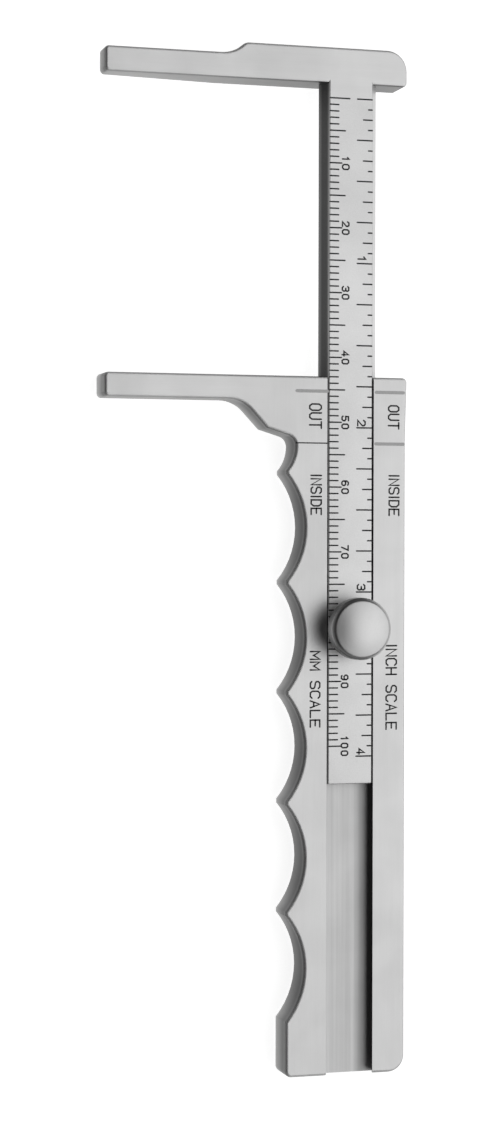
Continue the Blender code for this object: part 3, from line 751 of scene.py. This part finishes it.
def floor_paper(studio):
    """White paper: lit, so that it keeps a shadow, plus its own white to the camera, to metal and to glass."""
    material = bpy.data.materials.new("White paper")
    material.use_nodes = True
    tree = material.node_tree
    paper = tree.nodes["Principled BSDF"]
    paper.inputs["Base Color"].default_value = studio.floor_colour
    paper.inputs["Roughness"].default_value = 0.9
    paper.inputs["Specular IOR Level"].default_value = 0.0
    path = add(tree, "ShaderNodeLightPath").outputs
    seen = maths(tree, "MAXIMUM", path["Is Camera Ray"],
                 maths(tree, "MAXIMUM", path["Is Glossy Ray"], path["Is Transmission Ray"]))
    white = add(tree, "ShaderNodeEmission", {"Strength": maths(tree, "MULTIPLY", seen, studio.floor_white)})
    both = add(tree, "ShaderNodeAddShader", {0: paper.outputs[0], 1: white.outputs[0]})
    tree.links.new(both.outputs[0], tree.nodes["Material Output"].inputs["Surface"])
    return material


def stand_in(piece, node, body):
    """Let a piece stand for a node: it moves with the node's body, and the node is hidden."""
    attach(piece, body)
    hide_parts(node)


def fill_piece(name, cuts, body, material, scales):
    """Fill for groups of strokes, each group with its own width, riding on a body."""
    low, high = FACE_Z - scales.fill_depth, FACE_Z + scales.fill_stand
    points, faces, count = [], [], 0
    for paths, width in cuts:
        for path, closed in paths:
            new_points, new_faces = stroke(path, closed, width, low, high)
            points.append(new_points)
            faces += (np.array(new_faces) + count).tolist()
            count += len(new_points)
    piece = new_piece(name, np.concatenate(points), faces, material, smooth=False)
    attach(piece, body)


def line_end(reading, ends):
    """Where a graduation ends: the first of the ends whose number divides the reading."""
    return next(end for number, end in ends if reading % number == 0) * MM


class CALIPER_OT_handle(bpy.types.Operator):
    """Dress the handle plate with its jaw, scallops and groove in satin steel"""

    bl_idname = "caliper.handle"
    bl_label = "Handle"

    def execute(self, context):
        material = handle_steel(context.scene.caliper_finish)
        stand_in(welded_copy("handle_frame", "handle_plate", material), "handle_frame", "handle")
        return {"FINISHED"}


class CALIPER_OT_slide(bpy.types.Operator):
    """Dress the sliding jaw, its head and its dovetail bar"""

    bl_idname = "caliper.slide"
    bl_label = "Sliding jaw and bar"

    def execute(self, context):
        material = slide_steel(context.scene.caliper_finish, context.scene.caliper_scales.zero_y + FACE_Y)
        stand_in(welded_copy("slide_bar", "sliding_jaw", material), "slide_bar", "slide")
        return {"FINISHED"}


class CALIPER_OT_knob(bpy.types.Operator):
    """Turn the domed thumb knob in fine steps"""

    bl_idname = "caliper.knob"
    bl_label = "Thumb knob"

    def execute(self, context):
        knob = context.scene.caliper_knob
        centre = (KNOB_LOW + KNOB_HIGH) / 2
        points, faces = turned(knob_profile(knob), centre, knob.steps)
        piece = new_piece("thumb_knob_turned", points, faces, knob_steel(context.scene.caliper_finish, centre))
        smooth_shading(piece)
        stand_in(piece, "thumb_knob", "slide")
        return {"FINISHED"}


class CALIPER_OT_hardware(bpy.types.Operator):
    """Dress the screw, the stop pin, the drag ball and its spring"""

    bl_idname = "caliper.hardware"
    bl_label = "Screw, pin, ball and spring"

    def execute(self, context):
        material = hardware_steel(context.scene.caliper_finish)
        for name in ("knob_screw", "stop_pin", "drag_ball", "drag_spring"):
            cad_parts[name].material_slots[0].material = material
        return {"FINISHED"}


class CALIPER_OT_scales(bpy.types.Operator):
    """Engrave the millimetre and the inch scale on the bar"""

    bl_idname = "caliper.scales"
    bl_label = "Scales"

    def execute(self, context):
        scales = context.scene.caliper_scales
        material = line_fill("Engraving fill", context.scene.caliper_finish.fill_colour, 0.0)
        edge = scales.face_half_width
        lines, numbers = [], []
        for reading in range(scales.millimetres + 1):
            y = scales.zero_y - reading * MM
            end = -line_end(reading, METRIC_LINE_ENDS)
            if reading and reading % 10 == 0:
                end = scales.metric_number_low - scales.number_width / 2
                half = scales.digit_length * len(str(reading)) / 2
                numbers += lettering(str(reading), scales.metric_number_low, scales.metric_number_high,
                                     y + half, y - half, DIGIT_GAP_SHARE)
            lines.append(level_line(-edge, end, y))
        cuts = [(lines, scales.line_width), (numbers, scales.number_width)]
        fill_piece("mm_scale", cuts, "slide", material, scales)

        lines, numbers = [], []
        for sixteenth in range(scales.inches * 16 + 1):
            y = scales.zero_y - sixteenth * INCH / 16
            lines.append(level_line(edge, line_end(sixteenth, SIXTEENTH_LINE_ENDS), y))
            if sixteenth and sixteenth % 16 == 0:
                foot = y + scales.inch_number_gap
                numbers += lettering(str(sixteenth // 16), scales.inch_number_low, scales.inch_number_high,
                                     foot + scales.inch_number_length, foot)
        cuts = [(lines, scales.line_width), (numbers, scales.number_width)]
        fill_piece("inch_scale", cuts, "slide", material, scales)
        return {"FINISHED"}


class CALIPER_OT_marks(bpy.types.Operator):
    """Engrave the index lines and the plain function words on the handle"""

    bl_idname = "caliper.marks"
    bl_label = "Index lines and words"

    def execute(self, context):
        scales = context.scene.caliper_scales
        finish = context.scene.caliper_finish
        shallow = [level_line(a * MM, b * MM, 0.0) for a, b in OUTSIDE_LINES]
        left, right = [level_line(a * MM, b * MM, -scales.inside_drop) for a, b in INSIDE_LINES]
        words = []
        for text, *box in WORDS:
            words += lettering(text, *(value * MM for value in box))
        fill_piece("index_marks", [([left], scales.fine_index_width), (words, scales.word_width)], "handle",
                   line_fill("Word fill", finish.fill_colour, 0.0), scales)
        fill_piece("broad_index_lines", [(shallow + [right], scales.index_width)], "handle",
                   line_fill("Shallow line", finish.shallow_colour, 1.0), scales)
        return {"FINISHED"}


def camera_place(studio):
    """The camera's place: it looks along d, which leans by the yaw from straight down and by the pitch from level."""
    d = np.array([math.sin(studio.yaw), 0, -math.cos(studio.yaw)])
    r = np.array([math.cos(studio.yaw), 0, math.sin(studio.yaw)])
    u = np.array([0.0, 1.0, 0.0])
    ahead = d * math.cos(studio.pitch) - u * math.sin(studio.pitch)
    up = u * math.cos(studio.pitch) + d * math.sin(studio.pitch)
    up, right = (up * math.cos(studio.roll) + r * math.sin(studio.roll),
                 r * math.cos(studio.roll) - up * math.sin(studio.roll))
    eye = np.array(studio.aim) - ahead * studio.distance
    return Matrix([[right[i], up[i], -ahead[i], eye[i]] for i in range(3)] + [[0, 0, 0, 1]])


class CALIPER_OT_stage(bpy.types.Operator):
    """Lay the pale floor, and set the light and the camera"""

    bl_idname = "caliper.stage"
    bl_label = "Floor, light and camera"

    def execute(self, context):
        studio = context.scene.caliper_studio
        scene = context.scene
        scene.view_settings.view_transform = "Standard"

        angle = np.linspace(0, 2 * np.pi, FLOOR_STEPS, endpoint=False)
        rim = np.stack([studio.floor_radius * np.cos(angle), studio.floor_radius * np.sin(angle),
                        np.full(FLOOR_STEPS, -studio.floor_gap)], -1)
        new_piece("floor", rim, [np.arange(FLOOR_STEPS)], floor_paper(studio), smooth=False)

        scene.world = bpy.data.worlds.new("Studio")
        scene.world.use_nodes = True
        room = scene.world.node_tree
        look = add(room, "ShaderNodeSeparateXYZ", {0: add(room, "ShaderNodeTexCoord").outputs["Generated"]}).outputs
        strength = studio.overhead
        for part, end, side in ((look[0], -1, studio.jaw_side), (look[0], 1, studio.far_side),
                                (look[1], 1, studio.head_side), (look[1], -1, studio.foot_side)):
            level = smooth_step(room, maths(room, "MULTIPLY", part, end), HORIZON, 0.0, side)
            strength = maths(room, "MAXIMUM", strength, level)
        room.nodes["Background"].inputs["Color"].default_value = (1, 1, 1, 1)
        room.links.new(strength, room.nodes["Background"].inputs["Strength"])

        lamp = bpy.data.lights.new("Key", "AREA")
        lamp.shape = "RECTANGLE"
        lamp.size, lamp.size_y = studio.key_width, studio.key_length
        lamp.energy = studio.key_power
        key = bpy.data.objects.new("Key", lamp)
        scene.collection.objects.link(key)
        key.matrix_world = (Matrix.Translation((0, studio.aim[1], 0)) @ Matrix.Rotation(studio.key_lean, 4, "Y")
                            @ Matrix.Rotation(studio.key_drop, 4, "X")
                            @ Matrix.Translation((0, 0, studio.key_distance)))
        key.visible_camera = False

        camera = bpy.data.objects.new("Camera", bpy.data.cameras.new("Camera"))
        scene.collection.objects.link(camera)
        camera.data.lens = studio.lens
        camera.data.sensor_width = SENSOR_WIDTH
        camera.data.clip_start = NEAREST_SEEN
        camera.matrix_world = camera_place(studio)
        scene.camera = camera
        return {"FINISHED"}


class CALIPER_PT_finish(bpy.types.Panel):
    """Sizes, colours and steps of the caliper's finish"""

    bl_idname = "CALIPER_PT_finish"
    bl_label = "Femur caliper"
    bl_space_type = "VIEW_3D"
    bl_region_type = "UI"
    bl_category = "Caliper"

    def draw(self, context):
        for step in STEPS:
            self.layout.operator(step.bl_idname)
        scene = context.scene
        for group in (scene.caliper_scales, scene.caliper_knob, scene.caliper_finish, scene.caliper_studio):
            box = self.layout.box()
            for name in type(group).__annotations__:
                box.prop(group, name)


GROUPS = (CaliperScales, CaliperKnob, CaliperFinish, CaliperStudio)
STEPS = (CALIPER_OT_handle, CALIPER_OT_slide, CALIPER_OT_knob, CALIPER_OT_hardware, CALIPER_OT_scales,
         CALIPER_OT_marks, CALIPER_OT_stage)


def register():
    for item in GROUPS + STEPS + (CALIPER_PT_finish,):
        bpy.utils.register_class(item)
    bpy.types.Scene.caliper_scales = PointerProperty(type=CaliperScales)
    bpy.types.Scene.caliper_knob = PointerProperty(type=CaliperKnob)
    bpy.types.Scene.caliper_finish = PointerProperty(type=CaliperFinish)
    bpy.types.Scene.caliper_studio = PointerProperty(type=CaliperStudio)


def unregister():
    del bpy.types.Scene.caliper_scales, bpy.types.Scene.caliper_knob
    del bpy.types.Scene.caliper_finish, bpy.types.Scene.caliper_studio
    for item in reversed(GROUPS + STEPS + (CALIPER_PT_finish,)):
        bpy.utils.unregister_class(item)


def main():
    """Run every step."""
    register()
    bpy.ops.caliper.handle()
    bpy.ops.caliper.slide()
    bpy.ops.caliper.knob()
    bpy.ops.caliper.hardware()
    bpy.ops.caliper.scales()
    bpy.ops.caliper.marks()
    bpy.ops.caliper.stage()


if __name__ == "__main__":
    main()
